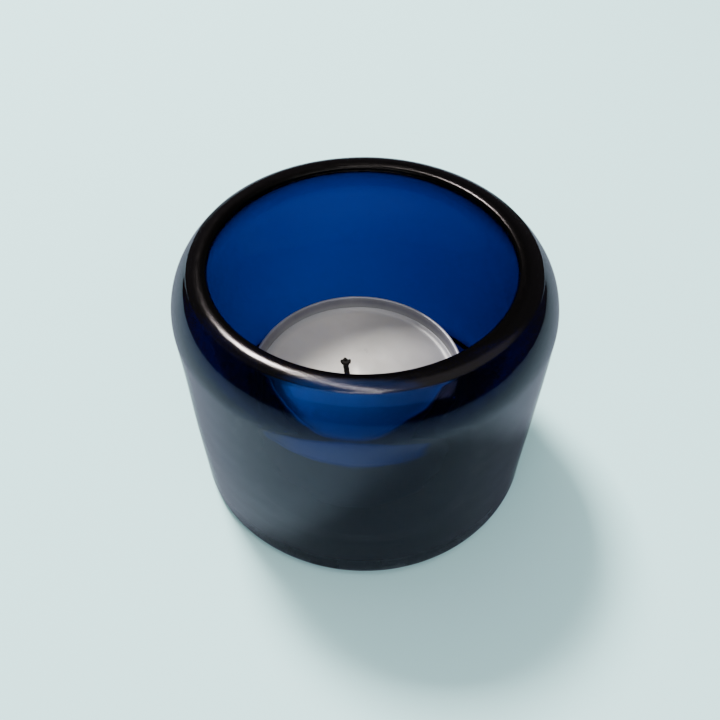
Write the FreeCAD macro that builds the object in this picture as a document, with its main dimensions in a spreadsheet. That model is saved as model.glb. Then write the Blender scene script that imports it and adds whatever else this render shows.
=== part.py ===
"""A cobalt glass tealight holder with a burnt tealight standing in it.

Frame: origin at the centre of the circle the glass stands on, +Z up through its mouth, millimetres.
The tealight stands a little to the -X and -Y side of the glass, and its wick has drifted to -X.
"""
import FreeCAD, Part
import math
import os
import Sketcher

DRIVING_DIMENSIONS = {
    # glass: one vessel of revolution, its wall much the same thickness from floor to lip
    "glass_radius": 31.0,
    "glass_height": 46.4,
    "heel_radius": 2.8,
    "foot_ring_inner_radius": 23.0,
    "punt_height": 1.2,
    "shoulder_start_height": 38.0,
    "shoulder_radius": 10.2,
    "lip_outer_radius": 27.4,
    "lip_crown_radius": 3.5,
    "lip_round_radius": 0.8,
    "mouth_radius": 23.9,
    "inner_shoulder_height": 37.2,
    "bore_radius": 27.2,
    "floor_fillet_radius": 4.5,
    "floor_height": 5.2,
    # where the tealight stands
    "rest_gap": 0.05,
    "tealight_offset": 1.1,
    "tealight_forward": 0.8,
    # drawn aluminium cup
    "cup_height": 15.0,
    "cup_rim_radius": 19.25,
    "cup_roll_radius": 0.4,
    "cup_wall": 0.3,
    "cup_top_radius": 18.75,
    "cup_base_radius": 18.2,
    "cup_corner_radius": 1.6,
    "cup_panel_radius": 14.0,
    "cup_panel_rise": 0.4,
    # wax fill
    "wax_side_gap": 0.15,
    "wax_drop": 2.8,
    "meniscus_height": 0.5,
    "meniscus_radius": 1.5,
    # wick and the sustainer that holds it
    "wick_offset": 1.9,
    "wick_radius": 0.55,
    "wick_flare_radius": 0.92,
    "wick_flare_length": 1.3,
    "wick_crown": 0.35,
    "wick_above_wax": 4.9,
    "sustainer_radius": 6.25,
    "sustainer_thickness": 0.3,
    "collar_radius": 1.2,
    "collar_height": 3.0,
}

DERIVED_DIMENSIONS = {
    "wax_inset": "=cup_wall + wax_side_gap",
    "wax_level": "=cup_height - wax_drop",
    "wax_base_height": "=cup_panel_rise + wax_inset",
    "tealight_base": "=floor_height + rest_gap",
    "wick_length": "=wax_level + wick_above_wax - wax_base_height",
}

# How a sketch numbers an edge's own points, and its origin and axes.
START, END, CENTRE = 1, 2, 3
ORIGIN = (-1, 1)
X_AXIS, Y_AXIS = -1, -2
UP = FreeCAD.Vector(0, 0, 1)


def make_sheet(doc):
    """Driving dimensions as plain numbers, then the few worked out from them."""
    sheet = doc.addObject("Spreadsheet::Sheet", "Sizes")
    rows = {**DRIVING_DIMENSIONS, **DERIVED_DIMENSIONS}
    for row, (alias, content) in enumerate(rows.items(), start=1):
        sheet.set(f"A{row}", alias.replace("_", " "))
        sheet.setAlias(f"B{row}", alias)
        sheet.set(f"B{row}", str(content))
    doc.recompute()


def make_body(doc, name):
    body = doc.addObject("PartDesign::Body", name)
    body.Label = name
    return body


def place(body, height, offset):
    """Stands a body at a height, to the -X side by offset and forward with the tealight."""
    body.setExpression("Placement.Base.x", f"-({offset})")
    body.setExpression("Placement.Base.y", "-Sizes.tealight_forward")
    body.setExpression("Placement.Base.z", height)


class Outline:
    """A sketch whose closed chain of lines and arcs is joined in the order it is drawn."""

    def __init__(self, body, name, plane="XZ_Plane"):
        support = next(item for item in body.Origin.OriginFeatures if item.Role == plane)
        self.sketch = body.newObject("Sketcher::SketchObject", name)
        self.sketch.AttachmentSupport = [(support, "")]
        self.sketch.MapMode = "FlatFace"
        self.chain = []

    def value(self, expression):
        return float(self.sketch.evalExpression(expression))

    def line(self, start, end):
        edge = Part.LineSegment(FreeCAD.Vector(*start, 0), FreeCAD.Vector(*end, 0))
        index = self.sketch.addGeometry(edge)
        self.chain.append((index, START, END))
        return index

    def arc(self, centre, radius, first, last):
        """An arc drawn from angle first to angle last, in degrees, either way round."""
        circle = Part.Circle(FreeCAD.Vector(*centre, 0), UP, radius)
        low, high = math.radians(min(first, last)), math.radians(max(first, last))
        index = self.sketch.addGeometry(Part.ArcOfCircle(circle, low, high))
        self.chain.append((index, START, END) if first < last else (index, END, START))
        return index

    def circle(self, centre_x, centre_y, radius):
        centre = FreeCAD.Vector(centre_x, centre_y, 0)
        return self.sketch.addGeometry(Part.Circle(centre, UP, radius))

    def close(self, smooth_after=()):
        """Joins each edge to the next, tangent after those named in smooth_after."""
        for turn, (edge, _, leaving) in enumerate(self.chain):
            following, entering, _ = self.chain[(turn + 1) % len(self.chain)]
            kind = "Tangent" if edge in smooth_after else "Coincident"
            self.relate(kind, edge, leaving, following, entering)

    def relate(self, kind, *where):
        self.sketch.addConstraint(Sketcher.Constraint(kind, *where))

    def drive(self, kind, *where, by):
        """A dimension whose value is an expression on the sheet."""
        number = self.sketch.addConstraint(Sketcher.Constraint(kind, *where, self.value(by)))
        label = f"{kind}{number}"
        self.sketch.renameConstraint(number, label)
        self.sketch.setExpression(f"Constraints.{label}", by)

    def radius_at(self, edge, point, by):
        self.drive("DistanceX", *ORIGIN, edge, point, by=by)

    def height_at(self, edge, point, by):
        self.drive("DistanceY", *ORIGIN, edge, point, by=by)

    def on_axis(self, edge, point):
        self.relate("PointOnObject", edge, point, Y_AXIS)

    def check(self):
        self.sketch.Document.recompute()
        if not self.sketch.FullyConstrained:
            raise RuntimeError(f"{self.sketch.Name} is not fully constrained")
        return self.sketch


def revolve(body, outline, name):
    feature = body.newObject("PartDesign::Revolution", name)
    feature.Profile = outline.check()
    feature.ReferenceAxis = (outline.sketch, ["V_Axis"])
    feature.Angle = 360
    body.Document.recompute()
    return feature


def build_glass_holder(doc):
    """Straight wall, a shoulder that curves in on both faces, and a ground lip with a fine edge."""
    body = make_body(doc, "glass_holder")
    out = Outline(body, "GlassSection")
    size = {name: out.value(f"Sizes.{name}") for name in DRIVING_DIMENSIONS}
    radius, height, foot = size["glass_radius"], size["glass_height"], size["foot_ring_inner_radius"]
    heel, shoulder = size["heel_radius"], size["shoulder_radius"]
    crown, lip_round = size["lip_crown_radius"], size["lip_round_radius"]
    fillet = size["floor_fillet_radius"]
    shoulder_z, floor_z, punt = size["shoulder_start_height"], size["floor_height"], size["punt_height"]
    mouth, bore, inner_z = size["mouth_radius"], size["bore_radius"], size["inner_shoulder_height"]

    punt_radius = (foot**2 + punt**2) / (2 * punt)
    punt_angle = math.degrees(math.acos(foot / punt_radius))
    shoulder_x = radius - shoulder
    edge_angle = math.degrees(math.acos((size["lip_outer_radius"] - shoulder_x) / shoulder))
    edge_z = shoulder_z + shoulder * math.sin(math.radians(edge_angle))
    crown_z = height - crown
    crown_x = size["lip_outer_radius"] - math.sqrt(crown**2 - (edge_z - crown_z) ** 2)
    crown_angle = math.degrees(math.atan2(edge_z - crown_z, size["lip_outer_radius"] - crown_x))
    round_x = mouth + lip_round
    round_z = crown_z + math.sqrt((crown - lip_round) ** 2 - (crown_x - round_x) ** 2)
    round_angle = math.degrees(math.atan2(round_z - crown_z, round_x - crown_x))
    drawn_in, rise = bore - round_x, round_z - inner_z
    inner = (drawn_in**2 + rise**2 - lip_round**2) / (2 * (drawn_in + lip_round))
    inner_x = bore - inner
    inner_angle = math.degrees(math.atan2(rise, round_x - inner_x))

    underside = out.arc((0, punt - punt_radius), punt_radius, 90, punt_angle)
    ring = out.line((foot, 0), (radius - heel, 0))
    heel_arc = out.arc((radius - heel, heel), heel, -90, 0)
    wall = out.line((radius, heel), (radius, shoulder_z))
    shoulder_arc = out.arc((shoulder_x, shoulder_z), shoulder, 0, edge_angle)
    crown_arc = out.arc((crown_x, crown_z), crown, crown_angle, round_angle)
    round_arc = out.arc((round_x, round_z), lip_round, round_angle, 180 + inner_angle)
    inner_arc = out.arc((inner_x, inner_z), inner, inner_angle, 0)
    bore_line = out.line((bore, inner_z), (bore, floor_z + fillet))
    fillet_arc = out.arc((bore - fillet, floor_z + fillet), fillet, 0, -90)
    floor = out.line((bore - fillet, floor_z), (0, floor_z))
    out.line((0, floor_z), (0, punt))

    smooth = (ring, heel_arc, wall, crown_arc, round_arc, inner_arc, bore_line, fillet_arc)
    out.close(smooth_after=smooth)
    out.on_axis(underside, CENTRE)
    out.on_axis(underside, END)
    out.on_axis(floor, END)
    out.relate("PointOnObject", ring, START, X_AXIS)
    out.relate("Horizontal", ring)
    out.relate("Vertical", wall)
    out.relate("Vertical", bore_line)
    out.relate("Horizontal", floor)
    out.height_at(underside, END, by="Sizes.punt_height")
    out.radius_at(ring, START, by="Sizes.foot_ring_inner_radius")
    out.drive("Radius", heel_arc, by="Sizes.heel_radius")
    out.radius_at(wall, START, by="Sizes.glass_radius")
    out.height_at(wall, END, by="Sizes.shoulder_start_height")
    out.drive("Radius", shoulder_arc, by="Sizes.shoulder_radius")
    out.radius_at(shoulder_arc, END, by="Sizes.lip_outer_radius")
    out.drive("Radius", crown_arc, by="Sizes.lip_crown_radius")
    out.height_at(crown_arc, CENTRE, by="Sizes.glass_height - Sizes.lip_crown_radius")
    out.drive("Radius", round_arc, by="Sizes.lip_round_radius")
    out.radius_at(round_arc, CENTRE, by="Sizes.mouth_radius + Sizes.lip_round_radius")
    out.height_at(bore_line, START, by="Sizes.inner_shoulder_height")
    out.radius_at(bore_line, END, by="Sizes.bore_radius")
    out.drive("Radius", fillet_arc, by="Sizes.floor_fillet_radius")
    out.height_at(floor, END, by="Sizes.floor_height")
    revolve(body, out, "Vessel")
    return body


def draw_tub(out, inset, wall_top):
    """Base panel, foot groove, corner and drafted wall of the cup, drawn inset from its outside."""
    size = {name: out.value(f"Sizes.{name}") for name in DRIVING_DIMENSIONS}
    step = out.value(inset)
    top = out.value(wall_top)
    rise, panel = size["cup_panel_rise"] + step, size["cup_panel_radius"]
    corner, base = size["cup_corner_radius"] - step, size["cup_base_radius"] - step
    wall_x = size["cup_top_radius"] - step

    panel_line = out.line((0, rise), (panel, rise))
    groove = out.line((panel, rise), (panel + size["cup_panel_rise"], step))
    foot = out.line((panel + size["cup_panel_rise"], step), (base - corner, step))
    corner_arc = out.arc((base - corner, step + corner), corner, -90, 0)
    wall = out.line((base, step + corner), (wall_x, top))

    out.on_axis(panel_line, START)
    out.relate("Horizontal", panel_line)
    out.relate("Horizontal", foot)
    out.height_at(panel_line, START, by=f"Sizes.cup_panel_rise + {inset}")
    out.radius_at(panel_line, END, by="Sizes.cup_panel_radius")
    out.radius_at(groove, END, by="Sizes.cup_panel_radius + Sizes.cup_panel_rise")
    out.height_at(corner_arc, CENTRE, by="Sizes.cup_corner_radius")
    out.drive("Radius", corner_arc, by=f"Sizes.cup_corner_radius - {inset}")
    out.radius_at(wall, START, by=f"Sizes.cup_base_radius - {inset}")
    out.radius_at(wall, END, by=f"Sizes.cup_top_radius - {inset}")
    out.height_at(wall, END, by=wall_top)
    return foot, corner_arc, wall


def build_candle_cup(doc):
    """Drawn from one disc: raised base panel, drafted wall, and a rim rolled outwards."""
    body = make_body(doc, "candle_cup")
    rim_z = "Sizes.cup_height - Sizes.cup_roll_radius"
    out = Outline(body, "CupSection")
    foot, corner, wall = draw_tub(out, "0", rim_z)
    top_z = out.value(rim_z)
    top = out.line((out.value("Sizes.cup_top_radius"), top_z), (0, top_z))
    out.line((0, top_z), (0, out.value("Sizes.cup_panel_rise")))
    out.close(smooth_after=(foot, corner))
    out.relate("Horizontal", top)
    out.on_axis(top, END)
    blank = revolve(body, out, "DrawnBlank")

    faces = blank.Shape.Faces
    mouth = max(range(len(faces)), key=lambda index: faces[index].CenterOfMass.z)
    shell = body.newObject("PartDesign::Thickness", "SheetWall")
    shell.Base = (blank, [f"Face{mouth + 1}"])
    shell.Reversed = True
    shell.setExpression("Value", "Sizes.cup_wall")

    roll = Outline(body, "RimSection")
    roll_x = "Sizes.cup_rim_radius - Sizes.cup_roll_radius"
    ring = roll.circle(roll.value(roll_x), top_z, roll.value("Sizes.cup_roll_radius"))
    roll.drive("Radius", ring, by="Sizes.cup_roll_radius")
    roll.radius_at(ring, CENTRE, by=roll_x)
    roll.height_at(ring, CENTRE, by=rim_z)
    revolve(body, roll, "RolledRim")
    place(body, "Sizes.tealight_base", "Sizes.tealight_offset")
    return body


def build_wax(doc):
    """Paraffin cast in the cup, sunk by burning, with a meniscus at the wall and room for the wick."""
    body = make_body(doc, "wax")
    edge_z = "Sizes.wax_level + Sizes.meniscus_height"
    out = Outline(body, "WaxSection")
    foot, corner, wall = draw_tub(out, "Sizes.wax_inset", edge_z)
    level, curve = out.value("Sizes.wax_level"), out.value("Sizes.meniscus_radius")
    drop = curve - out.value("Sizes.meniscus_height")
    edge_x = out.value("Sizes.cup_top_radius - Sizes.wax_inset")
    reach = math.sqrt(curve**2 - drop**2)
    edge_angle = -math.degrees(math.asin(drop / curve))
    meniscus = out.arc((edge_x - reach, level + curve), curve, edge_angle, -90)
    top = out.line((edge_x - reach, level), (0, level))
    out.line((0, level), (0, out.value("Sizes.wax_base_height")))
    out.close(smooth_after=(foot, corner, meniscus))
    out.relate("Horizontal", top)
    out.on_axis(top, END)
    out.drive("Radius", meniscus, by="Sizes.meniscus_radius")
    out.height_at(top, END, by="Sizes.wax_level")
    revolve(body, out, "CastWax")

    holes = {
        "WickChannel": ("Sizes.wick_radius", "Sizes.cup_height"),
        "CollarRecess": ("Sizes.collar_radius", "Sizes.collar_height"),
        "SustainerRecess": ("Sizes.sustainer_radius", "Sizes.sustainer_thickness"),
    }
    for name, (radius, depth) in holes.items():
        hole = Outline(body, f"{name}Outline", "XY_Plane")
        hole.sketch.setExpression("AttachmentOffset.Base.z", "Sizes.wax_base_height")
        ring = hole.circle(-hole.value("Sizes.wick_offset"), 0, hole.value(radius))
        hole.drive("Radius", ring, by=radius)
        hole.drive("DistanceX", ring, CENTRE, *ORIGIN, by="Sizes.wick_offset")
        hole.relate("PointOnObject", ring, CENTRE, X_AXIS)
        volume_before = body.Shape.Volume
        pocket = body.newObject("PartDesign::Pocket", name)
        pocket.Profile = hole.check()
        pocket.Reversed = True
        pocket.setExpression("Length", depth)
        doc.recompute()
        if body.Shape.Volume >= volume_before:
            raise RuntimeError(f"{name} cuts nothing")
    place(body, "Sizes.tealight_base", "Sizes.tealight_offset")
    return body


def revolve_polygon(body, name, corners):
    """A turned piece from straight runs; each corner is a pair of expressions, radius and height."""
    out = Outline(body, f"{name}Section")
    points = [(out.value(radius), out.value(height)) for radius, height in corners]
    edges = [out.line(start, end) for start, end in zip(points, points[1:] + points[:1])]
    out.close()
    for edge, (radius, height) in zip(edges, corners):
        if out.value(radius) == 0:
            out.on_axis(edge, START)
        else:
            out.radius_at(edge, START, by=radius)
        if out.value(height) == 0:
            out.relate("PointOnObject", edge, START, X_AXIS)
        else:
            out.height_at(edge, START, by=height)
    return revolve(body, out, name)


def build_wick(doc):
    """Braided cord, straight, with the charred tip spread wider than the cord."""
    body = make_body(doc, "wick")
    corners = [
        ("0", "0"),
        ("Sizes.wick_radius", "0"),
        ("Sizes.wick_radius", "Sizes.wick_length - Sizes.wick_flare_length"),
        ("Sizes.wick_flare_radius", "Sizes.wick_length - Sizes.wick_crown"),
        ("Sizes.wick_radius", "Sizes.wick_length"),
        ("0", "Sizes.wick_length"),
    ]
    revolve_polygon(body, "Cord", corners)
    return body


def build_wick_sustainer(doc):
    """Flat disc with a collar crimped round the foot of the wick."""
    body = make_body(doc, "wick_sustainer")
    corners = [
        ("Sizes.wick_radius", "0"),
        ("Sizes.sustainer_radius", "0"),
        ("Sizes.sustainer_radius", "Sizes.sustainer_thickness"),
        ("Sizes.collar_radius", "Sizes.sustainer_thickness"),
        ("Sizes.collar_radius", "Sizes.collar_height"),
        ("Sizes.wick_radius", "Sizes.collar_height"),
    ]
    revolve_polygon(body, "StampedDisc", corners)
    return body


def check_and_write(doc, bodies):
    """Stops on any failed object or unsound solid, then writes one STEP file for each piece."""
    doc.recompute()
    for item in doc.Objects:
        if {"Invalid", "Error"} & set(item.State):
            raise RuntimeError(f"{item.Name} did not compute: {item.State}")
    for body in bodies:
        shape = body.Shape
        if shape.isNull() or not shape.isValid() or len(shape.Solids) != 1:
            raise RuntimeError(f"{body.Label} is not one sound solid")
    os.makedirs("parts", exist_ok=True)
    for body in bodies:
        body.Shape.exportStep(f"parts/{body.Label}.step")
        box = body.Shape.optimalBoundingBox()
        print(f"{body.Label}: {body.Shape.Volume:.1f} mm3, z {box.ZMin:.2f} to {box.ZMax:.2f}")


def main():
    doc = FreeCAD.newDocument("TealightHolder")
    make_sheet(doc)
    glass = build_glass_holder(doc)
    cup = build_candle_cup(doc)
    wax = build_wax(doc)
    wick = build_wick(doc)
    sustainer = build_wick_sustainer(doc)
    wick_base = "Sizes.tealight_base + Sizes.wax_base_height"
    for body in (wick, sustainer):
        place(body, wick_base, "Sizes.tealight_offset + Sizes.wick_offset")
    check_and_write(doc, [glass, cup, wax, wick, sustainer])


main()
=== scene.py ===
"""Looks of a cobalt glass tealight holder with a burnt tealight in it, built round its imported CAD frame.

Shapes are worked out in millimetres, in the frame's own axes, and make_object turns them into metres.
"""
import math
import bpy
import numpy as np
from mathutils import Matrix, Vector, noise


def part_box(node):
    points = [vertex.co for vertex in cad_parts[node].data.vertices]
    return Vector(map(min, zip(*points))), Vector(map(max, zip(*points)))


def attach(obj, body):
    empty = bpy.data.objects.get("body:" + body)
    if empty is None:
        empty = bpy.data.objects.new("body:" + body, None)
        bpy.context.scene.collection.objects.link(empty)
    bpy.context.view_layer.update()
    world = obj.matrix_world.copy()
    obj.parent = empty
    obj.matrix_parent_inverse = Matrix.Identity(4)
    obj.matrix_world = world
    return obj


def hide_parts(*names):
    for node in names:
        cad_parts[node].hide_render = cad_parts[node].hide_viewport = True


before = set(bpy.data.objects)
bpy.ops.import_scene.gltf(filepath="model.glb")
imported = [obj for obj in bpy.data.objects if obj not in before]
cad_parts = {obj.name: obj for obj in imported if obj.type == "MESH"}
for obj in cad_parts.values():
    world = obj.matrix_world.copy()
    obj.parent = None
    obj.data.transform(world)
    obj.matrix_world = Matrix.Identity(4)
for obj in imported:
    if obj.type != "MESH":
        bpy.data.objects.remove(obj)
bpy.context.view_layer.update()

MM = 0.001
TURN = 2 * math.pi

# ---------------------------------------------------------------- sizes, from the frame
glass_low, glass_high = (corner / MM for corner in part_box("glass_holder"))
cup_low, cup_high = (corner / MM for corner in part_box("candle_cup"))
wax_low, wax_high = (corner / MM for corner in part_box("wax"))
wick_low, wick_high = (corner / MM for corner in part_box("wick"))
disc_low, disc_high = (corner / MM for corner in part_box("wick_sustainer"))

GLASS_AXIS = Vector((0, 0))
GLASS_R = (glass_high.x - glass_low.x) / 2
GLASS_H = glass_high.z

CUP_AXIS = ((cup_low + cup_high) / 2).to_2d()
CUP_BASE = cup_low.z
CUP_H = cup_high.z - cup_low.z
CUP_RIM_R = (cup_high.x - cup_low.x) / 2

WAX_BASE = wax_low.z
WAX_EDGE = wax_high.z
WAX_R = (wax_high.x - wax_low.x) / 2

WICK_AXIS = ((wick_low + wick_high) / 2).to_2d()
WICK_BASE = wick_low.z
WICK_TOP = wick_high.z

DISC_BASE = disc_low.z
DISC_R = (disc_high.x - disc_low.x) / 2
COLLAR_TOP = disc_high.z


# ---------------------------------------------------------------- mesh helpers
def arc(cx, cz, radius, first, last, steps):
    """Points on an arc in the (radius, height) plane, angles in degrees."""
    angles = np.radians(np.linspace(first, last, steps))
    return [(cx + radius * math.cos(a), cz + radius * math.sin(a)) for a in angles]


def run(start, end, steps):
    """Points from start to end, without the end itself."""
    return [
        (start[0] + (end[0] - start[0]) * i / steps, start[1] + (end[1] - start[1]) * i / steps)
        for i in range(steps)
    ]


def smooth_step(low, high, value):
    """0 at low, 1 at high and an even S between them; high may be the lower of the two."""
    t = min(1.0, max(0.0, (value - low) / (high - low)))
    return t * t * (3 - 2 * t)


def wobble(angle, height, seed):
    """A slow unevenness between about -1 and 1, with no seam round the axis."""
    point = Vector((math.cos(angle) * 1.3, math.sin(angle) * 1.3, height * 0.05 + seed))
    return noise.noise(point)


def hump(value, middle, width):
    """1 at middle, falling away on both sides."""
    return math.exp(-(((value - middle) / width) ** 2))


def make_object(name, vertices, faces, material):
    mesh = bpy.data.meshes.new(name)
    mesh.from_pydata([tuple(c * MM for c in v) for v in vertices], [], faces)
    mesh.validate()
    mesh.update()
    mesh.polygons.foreach_set("use_smooth", [True] * len(mesh.polygons))
    obj = bpy.data.objects.new(name, mesh)
    bpy.context.scene.collection.objects.link(obj)
    mesh.materials.append(material)
    return obj


def lathe(rings, segments, warp=None):
    """Vertices and faces of a turned skin. A ring is (radius, height, axis); radius 0 is a pole."""
    vertices, faces, rows = [], [], []
    for index, (radius, height, axis) in enumerate(rings):
        if radius == 0:
            rows.append([len(vertices)])
            vertices.append((axis.x, axis.y, height))
            continue
        row = []
        for k in range(segments):
            angle = TURN * k / segments
            r, z = (radius, height) if warp is None else warp(index, angle, radius, height)
            row.append(len(vertices))
            vertices.append((axis.x + r * math.cos(angle), axis.y + r * math.sin(angle), z))
        rows.append(row)
    for a, b in zip(rows, rows[1:]):
        for k in range(segments):
            n = (k + 1) % segments
            if len(a) == 1:
                faces.append((a[0], b[n], b[k]))
            elif len(b) == 1:
                faces.append((a[k], a[n], b[0]))
            else:
                faces.append((a[k], a[n], b[n], b[k]))
    return vertices, faces


def mark_rings(obj, name, rings, segments, shares):
    """Store one share from 0 to 1 per ring on a turned skin's vertices, for its material to read."""
    values = []
    for (radius, _, _), share in zip(rings, shares):
        values += [share] * (1 if radius == 0 else segments)
    obj.data.attributes.new(name, "FLOAT", "POINT").data.foreach_set("value", values)


# ---------------------------------------------------------------- material helpers
class Shader:
    """A Principled material and short ways to add nodes to it."""

    def __init__(self, name, colour, roughness, **sockets):
        self.material = bpy.data.materials.new(name)
        self.material.use_nodes = True
        self.tree = self.material.node_tree
        self.surface = self.tree.nodes["Principled BSDF"]
        self.output = self.tree.nodes["Material Output"]
        self.surface.inputs["Base Color"].default_value = (*colour, 1)
        self.surface.inputs["Roughness"].default_value = roughness
        for socket, value in sockets.items():
            self.surface.inputs[socket.replace("_", " ")].default_value = value

    def node(self, kind, **settings):
        made = self.tree.nodes.new(kind)
        for key, value in settings.items():
            setattr(made, key, value)
        return made

    def link(self, source, target):
        self.tree.links.new(source, target)

    def feed(self, socket, source):
        """Link source to one of the surface's own sockets."""
        self.link(source, self.surface.inputs[socket])

    def place(self):
        return self.node("ShaderNodeTexCoord").outputs["Object"]

    def position(self, scale=(1, 1, 1)):
        mapping = self.node("ShaderNodeMapping")
        mapping.inputs["Scale"].default_value = scale
        self.link(self.place(), mapping.inputs["Vector"])
        return mapping.outputs[0]

    def along(self, axis):
        """The surface's own x, y or z, in metres."""
        made = self.node("ShaderNodeSeparateXYZ")
        self.link(self.place(), made.inputs[0])
        return made.outputs[axis]

    def distance(self, point):
        """How far the surface is, in metres, from a point given in millimetres."""
        made = self.node("ShaderNodeVectorMath", operation="DISTANCE")
        self.link(self.place(), made.inputs[0])
        made.inputs[1].default_value = [c * MM for c in point]
        return made.outputs["Value"]

    def polar(self, around, outward):
        """Coordinates that run round the glass axis and along the radius, with no seam."""
        flat = self.node("ShaderNodeVectorMath", operation="MULTIPLY")
        self.link(self.place(), flat.inputs[0])
        flat.inputs[1].default_value = (1, 1, 0)
        length = self.node("ShaderNodeVectorMath", operation="LENGTH")
        self.link(flat.outputs[0], length.inputs[0])
        unit = self.node("ShaderNodeVectorMath", operation="NORMALIZE")
        self.link(flat.outputs[0], unit.inputs[0])
        wide = self.node("ShaderNodeVectorMath", operation="SCALE")
        self.link(unit.outputs[0], wide.inputs[0])
        wide.inputs["Scale"].default_value = around
        reach = self.math("MULTIPLY", length.outputs["Value"], outward)
        lift = self.node("ShaderNodeCombineXYZ")
        self.link(reach, lift.inputs[2])
        total = self.node("ShaderNodeVectorMath", operation="ADD")
        self.link(wide.outputs[0], total.inputs[0])
        self.link(lift.outputs[0], total.inputs[1])
        return total.outputs[0]

    def attribute(self, name):
        return self.node("ShaderNodeAttribute", attribute_name=name).outputs["Fac"]

    def math(self, operation, a, b):
        made = self.node("ShaderNodeMath", operation=operation)
        for socket, value in zip(made.inputs, (a, b)):
            if isinstance(value, (int, float)):
                socket.default_value = value
            else:
                self.link(value, socket)
        return made.outputs[0]

    def noise(self, vector, scale, detail=4, roughness=0.5, distortion=0):
        made = self.node("ShaderNodeTexNoise")
        made.inputs["Scale"].default_value = scale
        made.inputs["Detail"].default_value = detail
        made.inputs["Roughness"].default_value = roughness
        made.inputs["Distortion"].default_value = distortion
        self.link(vector, made.inputs["Vector"])
        return made.outputs[0]

    def remap(self, value, low, high, to_low, to_high):
        made = self.node("ShaderNodeMapRange")
        for socket, number in zip(made.inputs[1:5], (low, high, to_low, to_high)):
            socket.default_value = number
        self.link(value, made.inputs[0])
        return made.outputs[0]

    def spread(self, cloud, to_low=0, to_high=1):
        """A noise, most of which lies between 0.3 and 0.7, stretched to run from to_low to to_high."""
        return self.remap(cloud, 0.3, 0.7, to_low, to_high)

    def mix(self, factor, a, b):
        made = self.node("ShaderNodeMix", data_type="RGBA")
        self.link(factor, made.inputs[0])
        for socket, value in ((made.inputs[6], a), (made.inputs[7], b)):
            if isinstance(value, tuple):
                socket.default_value = (*value, 1)
            else:
                self.link(value, socket)
        return made.outputs[2]

    def bump(self, height, distance, strength=1.0, after=None):
        made = self.node("ShaderNodeBump")
        made.inputs["Strength"].default_value = strength
        made.inputs["Distance"].default_value = distance
        self.link(height, made.inputs["Height"])
        if after is not None:
            self.link(after, made.inputs["Normal"])
        return made.outputs[0]


# ---------------------------------------------------------------- glass
GLASS_SEGMENTS = 320
FLAT_RINGS = 24

# The section is the CAD body's own.
HEEL = 2.8
FOOT_INNER = 23.0
PUNT = 1.2
SHOULDER_Z = 38.0
SHOULDER = 10.2
EDGE_R = 27.4
CROWN = 3.5
LIP_ROUND = 0.8
MOUTH_R = 23.9
INNER_Z = 37.2
BORE_R = 27.2
FILLET = 4.5
FLOOR_Z = 5.2

# How far the real glass strays from that section.
MOUTH_SHIFT = 0.35
MOUTH_SHIFT_TOWARDS = 0.35
MOUTH_WAVE = 0.10
BODY_WAVE = 0.22
RIPPLE = 0.012
EDGE_WAVE = 0.10
EDGE_PROUD = 0.02
RIDGE = 0.05

# The ground lip turns coarser, with darker painted shade, over these rings past its outer edge, towards the
# mouth.
COARSE_FROM, COARSE_TO = 13, 23
LIP_FADE_FROM, LIP_FADE_TO = 1, 5

GLASS_IOR = 1.52
GLASS_ABSORPTION = 1950.0
GLASS_TINT = (0.03, 0.53, 0.80)
GLASS_GLEAM = (0.15, 0.17, 0.38)
GLASS_EDGE_TINT = (0.75, 0.69, 0.73)
CLEAR = (1.0, 1.0, 1.0)

LIP_ROUGHNESS = 0.12
LIP_GLEAM = (1.0, 1.0, 0.96)
# Painted shade: dark base colours for the ground lip, standing in for the shade it shows.
LIP_PAINTED_SHADE = (0.09, 0.11, 0.14)
COARSE_GLEAM = (0.30, 0.30, 0.28)
COARSE_PAINTED_SHADE = (0.003, 0.003, 0.004)
COARSE_SPECK = (0.35, 0.28, 0.20)


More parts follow.
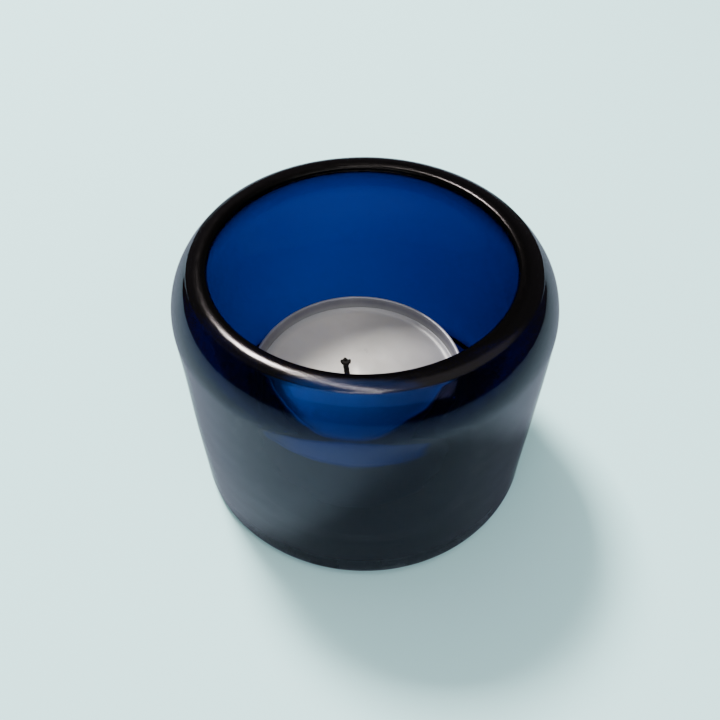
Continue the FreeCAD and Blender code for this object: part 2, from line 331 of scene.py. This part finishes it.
def glass_section():
    """The section from the underside's centre, outside, over the lip, down the bore to the floor's centre.

    Stretches that meet stop a little short of each other, so that no two rings fall in one place.
    Returns the points, the index of the lip's outer edge and the index of the bore's first point.
    """
    punt_radius = (FOOT_INNER**2 + PUNT**2) / (2 * PUNT)
    edge_angle = math.degrees(math.acos((EDGE_R - GLASS_R + SHOULDER) / SHOULDER))
    edge_z = SHOULDER_Z + SHOULDER * math.sin(math.radians(edge_angle))
    crown_z = GLASS_H - CROWN
    crown_x = EDGE_R - math.sqrt(CROWN**2 - (edge_z - crown_z) ** 2)
    crown_angle = math.degrees(math.atan2(edge_z - crown_z, EDGE_R - crown_x))
    round_x = MOUTH_R + LIP_ROUND
    round_z = crown_z + math.sqrt((CROWN - LIP_ROUND) ** 2 - (crown_x - round_x) ** 2)
    round_angle = math.degrees(math.atan2(round_z - crown_z, round_x - crown_x))
    drawn_in, rise = BORE_R - round_x, round_z - INNER_Z
    inner = (drawn_in**2 + rise**2 - LIP_ROUND**2) / (2 * (drawn_in + LIP_ROUND))
    inner_x = BORE_R - inner
    inner_angle = math.degrees(math.atan2(rise, round_x - inner_x))

    outside = []
    for i in range(FLAT_RINGS):
        r = FOOT_INNER * (i / FLAT_RINGS)
        outside.append((r, PUNT - punt_radius + math.sqrt(punt_radius**2 - r**2)))
    outside += run((FOOT_INNER + 0.15, 0.0), (GLASS_R - HEEL, 0.0), 5)
    outside += arc(GLASS_R - HEEL, HEEL, HEEL, -90, 0, 15)
    outside += run((GLASS_R, HEEL + 0.8), (GLASS_R, SHOULDER_Z), 34)
    outside += arc(GLASS_R - SHOULDER, SHOULDER_Z, SHOULDER, 0, edge_angle - 1.0, 40)

    edge = (EDGE_R + EDGE_PROUD, edge_z + EDGE_PROUD)
    ground = arc(crown_x, crown_z, CROWN, crown_angle + 2.5, round_angle, 26)
    ground += arc(round_x, round_z, LIP_ROUND, round_angle + 6, 160, 8)

    inside = arc(round_x, round_z, LIP_ROUND, 170, 180 + inner_angle, 8)
    inside += arc(inner_x, INNER_Z, inner, inner_angle - 1.5, 0, 26)
    inside += run((BORE_R, INNER_Z - 0.8), (BORE_R, FLOOR_Z + FILLET), 28)
    inside += arc(BORE_R - FILLET, FLOOR_Z + FILLET, FILLET, 0, -90, 12)
    for i in range(1, FLAT_RINGS):
        inside.append(((BORE_R - FILLET) * (1 - i / FLAT_RINGS), FLOOR_Z))
    inside.append((0.0, FLOOR_Z))

    edge_index = len(outside)
    return [*outside, edge, *ground, *inside], edge_index, edge_index + 1 + len(ground)


def build_glass(material):
    points, edge_index, inside_index = glass_section()

    def warp(index, angle, radius, height):
        """The mouth sits off centre, the wall swells and ripples, and the ground edge wanders."""
        across = smooth_step(edge_index, inside_index, index)
        deep = smooth_step(FLOOR_Z, FLOOR_Z + 12, height)
        firm = smooth_step(0, 5, height)
        shift = -MOUTH_SHIFT * across * deep * math.cos(angle - MOUTH_SHIFT_TOWARDS)
        shift += MOUTH_WAVE * across * deep * wobble(angle, height, 40)
        swell = BODY_WAVE * (1 - across) * firm * wobble(angle, height, 3)
        ripple = RIPPLE * math.sin(3 * angle + height * 0.8) * math.sin(height * 0.6)
        lift = EDGE_WAVE * hump(index, edge_index, 3.0) * wobble(angle, 0, 11)
        ridge = RIDGE if index == edge_index else 0.0
        return radius + shift + swell + ripple * firm, height + lift + ridge

    rings = [(r, z, GLASS_AXIS) for r, z in points]
    vertices, faces = lathe(rings, GLASS_SEGMENTS, warp)
    obj = make_object("glass_body", vertices, faces, material)

    ground, coarse = [], []
    for index in range(len(rings)):
        on_lip = smooth_step(edge_index - 0.5, edge_index + 0.5, index)
        off_lip = smooth_step(inside_index + LIP_FADE_FROM, inside_index + LIP_FADE_TO, index)
        near_mouth = smooth_step(edge_index + COARSE_FROM, edge_index + COARSE_TO, index)
        ground.append(on_lip * (1 - off_lip))
        coarse.append(near_mouth * (1 - off_lip))
    mark_rings(obj, "ground", rings, GLASS_SEGMENTS, ground)
    mark_rings(obj, "coarse", rings, GLASS_SEGMENTS, coarse)
    return obj


def glass_material():
    """Clear coloured glass that absorbs light through its thickness, with a satin, ground lip.

    The thin tinted coat darkens the glass where it is seen at a slant. The ground lip's base colour is
    darkened as painted shade, near black towards the mouth.
    """
    shader = Shader(
        "cobalt_glass", CLEAR, 0.03, Transmission_Weight=1.0, IOR=GLASS_IOR,
        Coat_Weight=1.0, Coat_IOR=1.01, Coat_Tint=(*GLASS_EDGE_TINT, 1),
    )
    ground = shader.attribute("ground")
    coarse = shader.attribute("coarse")
    strokes = shader.noise(shader.polar(around=14, outward=14000), scale=1, detail=3, roughness=0.6)
    grain = shader.noise(shader.position(), scale=6000, detail=2, roughness=0.6)
    smears = shader.noise(shader.position((60, 60, 90)), scale=1, detail=5, roughness=0.6, distortion=0.8)
    skin = shader.noise(shader.position((1, 1, 1.6)), scale=120, detail=2, roughness=0.4)

    polished = shader.remap(smears, 0.35, 0.75, 0.012, 0.07)
    satin = shader.spread(strokes, LIP_ROUGHNESS - 0.04, LIP_ROUGHNESS + 0.06)
    satin = shader.math("ADD", satin, shader.math("MULTIPLY", coarse, 0.05))
    difference = shader.math("SUBTRACT", satin, polished)
    shader.feed("Roughness", shader.math("ADD", polished, shader.math("MULTIPLY", difference, ground)))

    specks = shader.math("MULTIPLY", shader.remap(grain, 0.55, 0.75, 0, 1), coarse)
    # Painted shade: the ground lip's base colour is darkened, near black towards the mouth, with grit
    # specks there.
    lip_painted_shade = shader.mix(coarse, LIP_PAINTED_SHADE, shader.mix(specks, COARSE_PAINTED_SHADE, COARSE_SPECK))
    shader.feed("Base Color", shader.mix(ground, CLEAR, lip_painted_shade))
    lip_gleam = shader.mix(coarse, LIP_GLEAM, COARSE_GLEAM)
    shader.feed("Specular Tint", shader.mix(ground, GLASS_GLEAM, lip_gleam))

    pitted = shader.remap(coarse, 0, 1, 0.8, 1.6)
    etched = shader.math("ADD", strokes, shader.math("MULTIPLY", grain, pitted))
    waves = shader.bump(skin, 0.00010, 0.5)
    shader.feed("Normal", shader.bump(shader.math("MULTIPLY", etched, ground), 0.000008, after=waves))

    absorb = shader.node("ShaderNodeVolumeAbsorption")
    absorb.inputs["Color"].default_value = (*GLASS_TINT, 1)
    absorb.inputs["Density"].default_value = GLASS_ABSORPTION
    shader.link(absorb.outputs[0], shader.output.inputs["Volume"])
    return shader.material


glass = build_glass(glass_material())
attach(glass, "holder")
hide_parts("glass_holder")

# ---------------------------------------------------------------- aluminium cup
CUP_SEGMENTS = 240
ROLL = 0.4
WALL = 0.22
CUP_TOP_R = CUP_RIM_R - 0.5
CUP_BASE_R = 18.2
CUP_CORNER = 1.6
PANEL_R = 14.0
PANEL_RISE = 0.4
PANEL_BEAD = 0.12

DENT = 0.06
FLUTES = 96
FLUTE = 0.004
RIM_WAVE = 0.04

FOIL_DULL, FOIL_BRIGHT = (0.23, 0.23, 0.27), (0.30, 0.30, 0.34)
FOIL_METALLIC = 0.6
WAXY_FOIL = (0.40, 0.40, 0.41)


def build_cup(material):
    """A drawn foil cup: a raised panel with a bead under it, a tapered wall and a rolled rim."""
    base, top = CUP_BASE, CUP_BASE + CUP_H
    panel = base + PANEL_RISE
    bead = panel + PANEL_BEAD
    under = [(r, panel) for r in (0.0, 2.0, 4.0, 5.6)]
    under += [(6.0, bead), (6.5, bead)]
    under += [(r, panel) for r in (6.9, 9.0, 11.5, PANEL_R - 0.2)]
    under += [(PANEL_R + 0.1, base + 0.3), (PANEL_R + 0.3, base + 0.1), (PANEL_R + 0.55, base)]
    under += [(CUP_BASE_R - CUP_CORNER - 0.3, base)]
    under += arc(CUP_BASE_R - CUP_CORNER, base + CUP_CORNER, CUP_CORNER, -90, -5, 10)

    wall_foot = base + CUP_CORNER + 0.2
    roll_z = top - ROLL
    slope = (CUP_TOP_R - CUP_BASE_R) / (roll_z - wall_foot)
    heights = np.linspace(wall_foot, roll_z - 0.45, 40)
    wall = [(CUP_BASE_R + slope * (z - wall_foot), z) for z in heights]
    roll = arc(CUP_RIM_R - ROLL, roll_z, ROLL, -150, 140, 18)

    lining = []
    for r, z in reversed(under + wall):
        lining_r = max(r - WALL, 0.0) if z > base + 0.9 else r
        lining_z = z if z > base + CUP_CORNER else z + WALL
        lining.append((lining_r, lining_z))
    lining[-1] = (0.0, panel + WALL)
    rings = [(r, z, CUP_AXIS) for r, z in under + wall + roll + lining]

    def warp(index, angle, radius, height):
        """Soft dents and fine drawing flutes, growing towards the free rim."""
        loose = smooth_step(base + 2, top, height)
        dent = DENT * loose * wobble(angle, height, 70)
        flute = FLUTE * loose * math.sin(FLUTES * angle + 2 * wobble(angle, height, 5))
        rise = RIM_WAVE * wobble(angle, 0, 21) * loose
        return radius + dent + flute, height + rise

    vertices, faces = lathe(rings, CUP_SEGMENTS, warp)
    obj = make_object("cup_shell", vertices, faces, material)

    lined_from = len(rings) - len(lining)
    film = [
        1 - smooth_step(WAX_EDGE - 0.2, WAX_EDGE + 1.3, height) if index >= lined_from else 0.0
        for index, (_, height, _) in enumerate(rings)
    ]
    mark_rings(obj, "film", rings, CUP_SEGMENTS, film)
    return obj


def cup_material():
    """Dull drawn foil, with a film of old wax on the inside near the wax's edge."""
    shader = Shader("cup_aluminium", (0.40, 0.40, 0.44), 0.45, Metallic=FOIL_METALLIC)
    drawn = shader.noise(shader.position((1, 1, 0.08)), scale=900, detail=4, roughness=0.6)
    cloud = shader.noise(shader.position(), scale=160, detail=4, roughness=0.6)
    film = shader.attribute("film")
    foil = shader.mix(shader.spread(cloud), FOIL_DULL, FOIL_BRIGHT)
    shader.feed("Base Color", shader.mix(film, foil, WAXY_FOIL))
    shader.feed("Metallic", shader.remap(film, 0, 1, FOIL_METALLIC, 0))
    shader.feed("Roughness", shader.spread(drawn, 0.42, 0.58))
    shader.feed("Normal", shader.bump(drawn, 0.00004, 0.6))
    return shader.material


cup = build_cup(cup_material())
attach(cup, "cup")
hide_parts("candle_cup")

# ---------------------------------------------------------------- wax
WAX_SEGMENTS = 256
MENISCUS = 0.5
MENISCUS_CURVE = 2.2
WAX_LEVEL = WAX_EDGE - MENISCUS
WAX_TAPER = 0.5
WAX_CORNER = 1.15
WAX_PANEL_R = PANEL_R - 0.6
HOLE_GAP = 0.02
WICK_R = 0.55
COLLAR_R = 1.2
DISC_TOP = DISC_BASE + 0.3

# Painted shade: these wax colours are kept well darker than paraffin's own, standing in for the shade
# inside the glass; the next one darkens the +X side.
WAX_COOL, WAX_WARM = (0.46, 0.445, 0.42), (0.53, 0.51, 0.48)
WAX_PAINTED_SHADE = (0.16, 0.16, 0.18)
WAX_THIN = (0.30, 0.30, 0.34)
WAX_SCORCHED = (0.45, 0.40, 0.34)
SOOT = (0.05, 0.05, 0.05)


def build_wax(material):
    """The wax, from the top of the hole for the wick, down and out underneath, up and back over the top."""
    rings = []

    def ring(radius, height, share):
        """share is 0 for a ring round the wick and 1 for one round the cup's axis."""
        rings.append((radius, height, WICK_AXIS.lerp(CUP_AXIS, share)))

    for radius, height in (
        (WICK_R, WAX_LEVEL - 0.7),
        (WICK_R, COLLAR_TOP + HOLE_GAP),
        (COLLAR_R, COLLAR_TOP + HOLE_GAP),
        (COLLAR_R, DISC_TOP + HOLE_GAP),
        (DISC_R, DISC_TOP + HOLE_GAP),
        (DISC_R, DISC_BASE + HOLE_GAP),
    ):
        ring(radius + HOLE_GAP, height, 0)
    for r in np.linspace(DISC_R + 0.6, WAX_PANEL_R, 8):
        ring(r, WAX_BASE + 0.4, (r - DISC_R) / (WAX_PANEL_R - DISC_R))
    ring(PANEL_R, WAX_BASE + 0.1, 1)
    ring(PANEL_R + 0.5, WAX_BASE, 1)
    base_r = WAX_R - WAX_TAPER
    side_foot = WAX_BASE + WAX_CORNER
    for r, z in arc(base_r - WAX_CORNER, side_foot, WAX_CORNER, -90, 0, 8):
        ring(r, z, 1)
    for t in np.linspace(0.06, 1, 18):
        ring(base_r + WAX_TAPER * t, side_foot + (WAX_EDGE - side_foot) * t, 1)

    top_index = len(rings)
    climb = math.asin(1 - MENISCUS / MENISCUS_CURVE)
    dish_r = WAX_R - 0.05 - MENISCUS_CURVE * math.cos(climb)
    meniscus = arc(dish_r, WAX_LEVEL + MENISCUS_CURVE, MENISCUS_CURVE, -90, -math.degrees(climb), 11)
    for r, z in reversed(meniscus):
        ring(r, z, 1)
    for t in np.linspace(0.97, 0.05, 60):
        ring(0.8 + (dish_r - 0.8) * t, WAX_LEVEL, smooth_step(0.05, 0.9, t))
    ring(0.72, WAX_LEVEL - 0.05, 0)
    ring(0.62, WAX_LEVEL - 0.3, 0)
    rings.append(rings[0])

    def warp(index, angle, radius, height):
        """The top set unevenly: dished where the flame stood, with a small collar round the wick."""
        if index < top_index:
            return radius, height
        x, y = radius * math.cos(angle), radius * math.sin(angle)
        free = smooth_step(WAX_R, WAX_R - 3, radius)
        swell = 0.16 * noise.noise(Vector((x * 0.16, y * 0.16, 3.1)))
        cockle = 0.035 * noise.noise(Vector((x * 0.55, y * 0.55, 8.2)))
        pool = -0.42 * hump(radius, 0, 3.2) - 0.10 * hump(radius, 0, 9.0)
        collar = 0.16 * hump(radius, 0.95, 0.35)
        edge = 0.10 * (1 - free) * wobble(angle, 0, 52)
        return radius, height + (swell + cockle + pool + collar) * free + edge

    vertices, faces = lathe(rings, WAX_SEGMENTS, warp)
    return make_object("wax_tablet", vertices, faces, material)


def wax_material():
    """Cloudy paraffin, coloured darker than its own as painted shade and darker still towards +X as painted
    shade, thin at its edge, scorched and gritty with soot by the wick.
    """
    shader = Shader(
        "paraffin", (0.86, 0.85, 0.84), 0.38, Subsurface_Weight=0.75, IOR=1.44,
        Subsurface_Radius=(1.0, 0.85, 0.75), Subsurface_Scale=0.0025,
    )
    cloud = shader.noise(shader.position(), scale=90, detail=5, roughness=0.6, distortion=0.4)
    grains = shader.noise(shader.position(), scale=1500, detail=3, roughness=0.7)
    pits = shader.noise(shader.position(), scale=700, detail=3, roughness=0.6)

    colour = shader.mix(shader.spread(cloud), WAX_COOL, WAX_WARM)
    # Painted shade: the wax is darkened towards +X, standing in for the shade on that side.
    painted_shade_towards_x = shader.remap(shader.along(0), -0.005, 0.015, 0, 1)
    colour = shader.mix(painted_shade_towards_x, colour, WAX_PAINTED_SHADE)
    from_axis = shader.distance((*CUP_AXIS, WAX_EDGE))
    thin = shader.remap(from_axis, (WAX_R - 1.5) * MM, WAX_R * MM, 0, 0.8)
    colour = shader.mix(thin, colour, WAX_THIN)
    from_wick = shader.distance((*WICK_AXIS, WAX_LEVEL))
    near = shader.remap(from_wick, 0.0007, 0.0035, 0.30, 0)
    colour = shader.mix(near, colour, WAX_SCORCHED)
    grit = shader.math("MULTIPLY", shader.remap(grains, 0.62, 0.72, 0, 0.35), near)
    shader.feed("Base Color", shader.mix(grit, colour, SOOT))
    shader.feed("Roughness", shader.spread(cloud, 0.26, 0.46))
    shader.feed("Normal", shader.bump(pits, 0.00005, 0.4))
    return shader.material


wax = build_wax(wax_material())
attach(wax, "candle")
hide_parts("wax")

# ---------------------------------------------------------------- wick
PLIES = 6
PLY_POINTS = 150
PLY_SIDES = 10
PLY_R = 0.235
BRAID_R = 0.28
TWIST = 1.9
FLARE_H = 0.9
FLARE_R = 0.44
LEAN = -0.25

FRESH_DARK, FRESH_PALE = (0.62, 0.58, 0.50), (0.82, 0.79, 0.72)
CHAR, ASH = (0.004, 0.004, 0.004), (0.022, 0.019, 0.017)


def tube(points, radii):
    """Vertices and faces of a capped tube along points, with frames carried from one to the next."""
    vertices, faces = [], []
    side = Vector((1, 0, 0))
    for i, point in enumerate(points):
        ahead = points[min(i + 1, len(points) - 1)] - points[max(i - 1, 0)]
        ahead.normalize()
        side = (side - ahead * side.dot(ahead)).normalized()
        other = ahead.cross(side)
        for k in range(PLY_SIDES):
            a = TURN * k / PLY_SIDES
            vertices.append(point + (side * math.cos(a) + other * math.sin(a)) * radii[i])
    last = (len(points) - 1) * PLY_SIDES
    for row in range(0, last, PLY_SIDES):
        for k in range(PLY_SIDES):
            n = (k + 1) % PLY_SIDES
            faces.append((row + k, row + n, row + PLY_SIDES + n, row + PLY_SIDES + k))
    faces.append(tuple(reversed(range(PLY_SIDES))))
    faces.append(tuple(range(last, last + PLY_SIDES)))
    return vertices, faces


def build_wick(material):
    """Six cotton plies braided round each other; above the wax they char, lean and flare."""
    vertices, faces = [], []
    length = WICK_TOP - WICK_BASE
    for ply in range(PLIES):
        phase = TURN * ply / PLIES
        hand = 1 if ply % 2 else -1
        uneven = (ply * 37 % 11) / 11 - 0.5
        points, radii = [], []
        for step in range(PLY_POINTS):
            t = step / (PLY_POINTS - 1)
            z = WICK_BASE + length * t
            turn = hand * t * length * TWIST + phase
            flare = smooth_step(WICK_TOP - FLARE_H, WICK_TOP - 0.22, z)
            untwist = 1 - 0.35 * flare
            reach = BRAID_R + 0.05 * math.sin(2 * turn) + FLARE_R * flare
            lean = LEAN * smooth_step(WAX_LEVEL, WICK_TOP, z)
            x = WICK_AXIS.x + lean + reach * math.cos(turn * untwist)
            y = WICK_AXIS.y + reach * math.sin(turn * untwist) * untwist
            points.append(Vector((x, y, z + 0.05 * flare * uneven - 0.03 * flare)))
            fuzz = 0.03 * noise.noise(Vector((ply * 9.0, 0, z * 3.5)))
            radii.append(PLY_R + fuzz + 0.07 * flare)
        ply_vertices, ply_faces = tube(points, radii)
        start = len(vertices)
        vertices += ply_vertices
        faces += [tuple(start + i for i in face) for face in ply_faces]
    return make_object("wick_cord", vertices, faces, material)


def wick_material():
    """Cotton, burnt black above the wax."""
    shader = Shader("charred_cotton", (0.02, 0.018, 0.016), 0.95, Specular_IOR_Level=0.15)
    ash = shader.noise(shader.position(), scale=2400, detail=4, roughness=0.7)
    fibres = shader.noise(shader.position((3, 3, 0.6)), scale=1800, detail=3, roughness=0.7)
    charred = shader.remap(shader.along(2), WAX_LEVEL * MM - 0.0006, WAX_LEVEL * MM + 0.0008, 0, 1)
    fresh = shader.mix(ash, FRESH_DARK, FRESH_PALE)
    black = shader.mix(shader.remap(ash, 0.4, 0.8, 0, 1), CHAR, ASH)
    shader.feed("Base Color", shader.mix(charred, fresh, black))
    shader.feed("Normal", shader.bump(fibres, 0.00008, 0.8))
    return shader.material


wick = build_wick(wick_material())
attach(wick, "candle")
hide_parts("wick")

# ---------------------------------------------------------------- sustainer
DISC_SEGMENTS = 96
DISC_BORE = 0.50
SHEET = 0.28
CRIMP = 0.10


def build_sustainer(material):
    """A stamped disc with a raised ring, and a collar crimped on to the wick."""
    low, top = DISC_BASE, COLLAR_TOP
    rings = [
        (DISC_BORE, low), (2.6, low), (3.0, low + 0.06), (3.6, low + 0.06), (4.0, low),
        (DISC_R - 0.08, low), (DISC_R, low + 0.08), (DISC_R, low + 0.2), (DISC_R - 0.08, low + SHEET),
        (4.0, low + SHEET), (3.6, DISC_TOP), (3.0, DISC_TOP), (2.6, low + SHEET),
        (COLLAR_R + 0.25, low + SHEET), (COLLAR_R, low + 0.45),
    ]
    rings += [(COLLAR_R, z) for z in np.linspace(low + 0.6, top - 0.1, 10)]
    rings += [(COLLAR_R - 0.1, top), (DISC_BORE + 0.1, top)]
    rings += [(DISC_BORE, z) for z in np.linspace(top - 0.1, low + 0.2, 8)]
    rings.append(rings[0])

    def warp(index, angle, radius, height):
        """Four dents press the collar's outside on to the wick."""
        on_collar = DISC_BORE + 0.05 < radius < COLLAR_R + 0.01
        grip = hump(height, low + 1.9, 0.5) if on_collar else 0.0
        return radius - CRIMP * grip * max(0.0, math.cos(4 * angle)), height

    vertices, faces = lathe([(r, z, WICK_AXIS) for r, z in rings], DISC_SEGMENTS, warp)
    return make_object("sustainer_disc", vertices, faces, material)


def tin_material():
    shader = Shader("tinplate", (0.62, 0.62, 0.63), 0.35, Metallic=1.0)
    grain = shader.noise(shader.position((1, 8, 1)), scale=500, detail=4, roughness=0.6)
    shader.feed("Base Color", shader.mix(shader.spread(grain), (0.52, 0.52, 0.53), (0.70, 0.70, 0.71)))
    shader.feed("Roughness", shader.spread(grain, 0.28, 0.45))
    shader.feed("Normal", shader.bump(grain, 0.00003, 0.5))
    return shader.material


sustainer = build_sustainer(tin_material())
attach(sustainer, "candle")
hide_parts("wick_sustainer")

# ---------------------------------------------------------------- floor
FLOOR_R = 900
FLOOR_CLEAR_R = 60
FLOOR_SEGMENTS = 96
FLOOR_PALE, FLOOR_PALER = (0.545, 0.915, 0.950), (0.557, 0.925, 0.960)


def floor_material():
    shader = Shader("floor_paint", FLOOR_PALE, 0.9, Specular_IOR_Level=0.1)
    cloud = shader.noise(shader.position(), scale=6, detail=3)
    shader.feed("Base Color", shader.mix(shader.spread(cloud), FLOOR_PALE, FLOOR_PALER))
    return shader.material


def build_floor(material):
    rings = [(r, 0.0, GLASS_AXIS) for r in (0.0, *np.linspace(FLOOR_CLEAR_R, FLOOR_R, 15))]
    vertices, faces = lathe(rings, FLOOR_SEGMENTS)
    faces = [tuple(reversed(face)) for face in faces]
    return make_object("floor", vertices, faces, material)


build_floor(floor_material())

# ---------------------------------------------------------------- lights, in metres
LIT = Vector((0, 0, 0.03))
WARM, COOL = (1.0, 0.97, 0.92), (0.98, 0.99, 1.0)


def area_light(name, place, size, power, colour, along=(1, 0, 0)):
    """A panel at place facing the glass, with its first side turned towards along."""
    data = bpy.data.lights.new(name, "AREA")
    data.shape = "RECTANGLE"
    data.size, data.size_y = size
    data.energy = power
    data.color = colour
    lamp = bpy.data.objects.new(name, data)
    bpy.context.scene.collection.objects.link(lamp)
    place, along = Vector(place), Vector(along)
    back = (place - LIT).normalized()
    across = (along - back * along.dot(back)).normalized()
    turn = Matrix((across, back.cross(across), back)).transposed().to_4x4()
    lamp.matrix_world = Matrix.Translation(place) @ turn


# The key draws the bright streak on the lip's front left; the strip and the sky panel lengthen it.
area_light("key", (-0.29, 0.44, 0.88), (0.19, 0.19), 24.0, WARM)
area_light("strip", (-0.11, -0.02, 1.06), (1.12, 0.07), 6.0, WARM, (0.44, -0.89, 0.14))
area_light("fill", (0.50, -0.10, 0.90), (0.80, 0.80), 1.0, COOL)
area_light("sky", (0.10, -0.85, 0.75), (1.80, 0.50), 7.0, COOL)

world = bpy.data.worlds.new("studio")
bpy.context.scene.world = world
world.use_nodes = True
background = world.node_tree.nodes["Background"]
background.inputs["Color"].default_value = (0.95, 0.98, 1.0, 1)
background.inputs["Strength"].default_value = 0.15

# ---------------------------------------------------------------- camera
# The view looks down at 48 degrees from close by, as it would from a hand-held camera.
CAMERA_PLACE = (0.0, -0.0862, 0.1182)
CAMERA_DOWN = math.radians(48.24)
CAMERA_YAW = math.radians(-0.31)
CAMERA_ROLL = math.radians(0.57)
CAMERA_LENS = CAMERA_SENSOR = 36.0


def turned(first, second, angle):
    """Two directions at right angles, both turned by angle, the first towards the second."""
    return (
        first * math.cos(angle) + second * math.sin(angle),
        second * math.cos(angle) - first * math.sin(angle),
    )


def build_camera():
    data = bpy.data.cameras.new("camera")
    data.sensor_width = CAMERA_SENSOR
    data.lens = CAMERA_LENS
    data.clip_start = 0.005
    camera = bpy.data.objects.new("camera", data)
    bpy.context.scene.collection.objects.link(camera)
    ahead = Vector((0, math.cos(CAMERA_DOWN), -math.sin(CAMERA_DOWN)))
    up = Vector((0, math.sin(CAMERA_DOWN), math.cos(CAMERA_DOWN)))
    ahead, right = turned(ahead, Vector((1, 0, 0)), CAMERA_YAW)
    right, up = turned(right, up, CAMERA_ROLL)
    turn = Matrix((right, up, -ahead)).transposed().to_4x4()
    camera.matrix_world = Matrix.Translation(CAMERA_PLACE) @ turn
    bpy.context.scene.camera = camera


build_camera()
